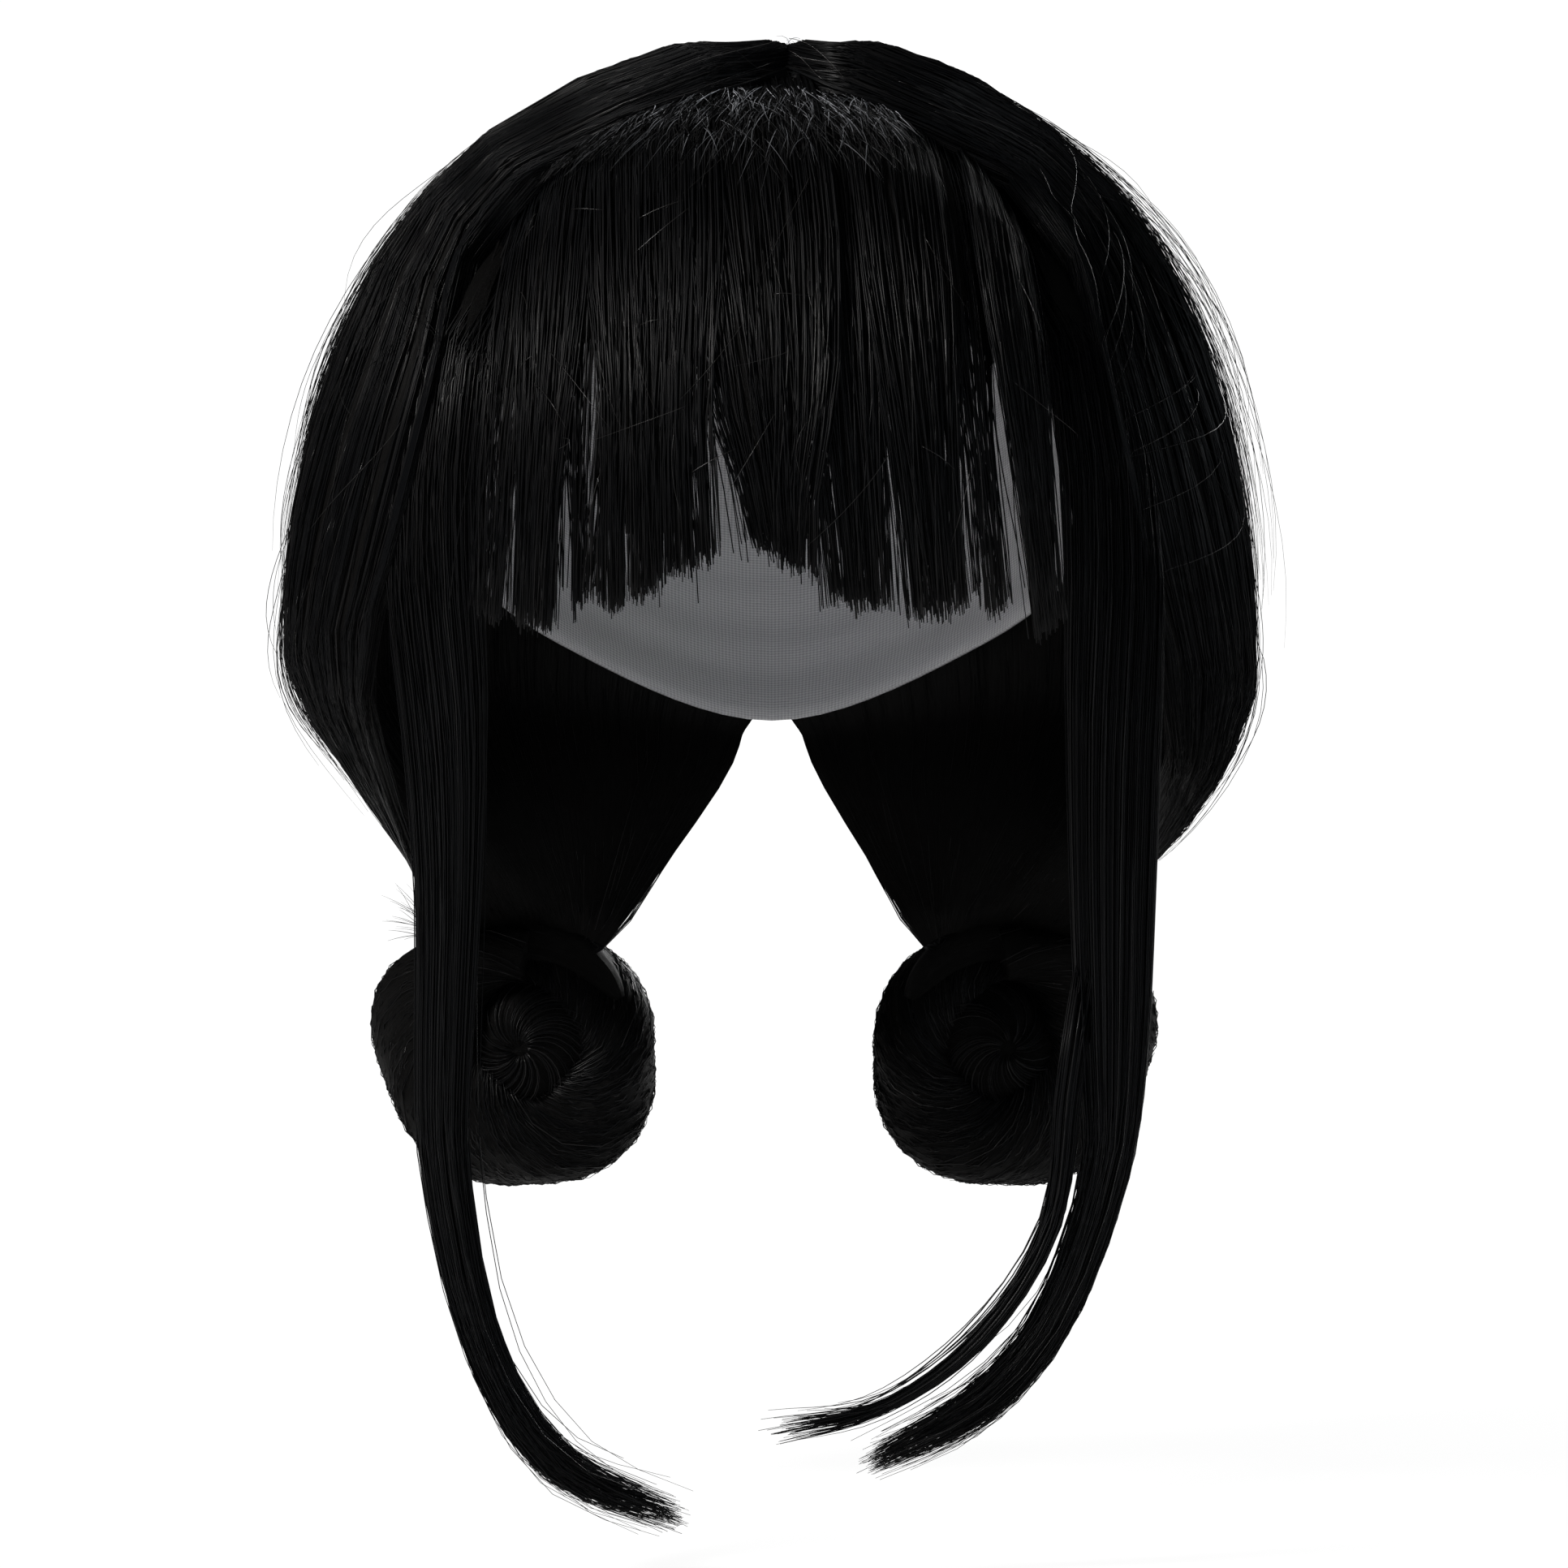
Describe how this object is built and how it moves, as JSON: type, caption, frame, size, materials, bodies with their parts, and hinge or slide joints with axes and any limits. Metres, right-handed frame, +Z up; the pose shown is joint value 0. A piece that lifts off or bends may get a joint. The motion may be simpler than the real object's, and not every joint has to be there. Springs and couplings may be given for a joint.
{
  "type": "double bun wig",
  "caption": "Wig of straight black hair on a thin cap: middle parting, rounded sides, blunt fringe, long curved side locks and low coiled buns behind the neck.",
  "frame": {"origin": "inside of the cap at the crown, where the top of the head bears on it", "axes": "+Z up out of the crown, -Y out of the face opening, +X towards the picture's right"},
  "size_m": [0.221, 0.2125, 0.3281],
  "materials": {
    "hair": "glossy straight black fibre",
    "cap_net": "matt pale grey stretch net"
  },
  "bodies": {
    "root": {"cap": "cap_net", "crown_hair_left": "hair", "crown_hair_right": "hair", "fringe": "hair", "side_lock_left": "hair", "side_lock_right": "hair", "bun_left": "hair", "bun_right": "hair"}
  },
  "joints": []
}
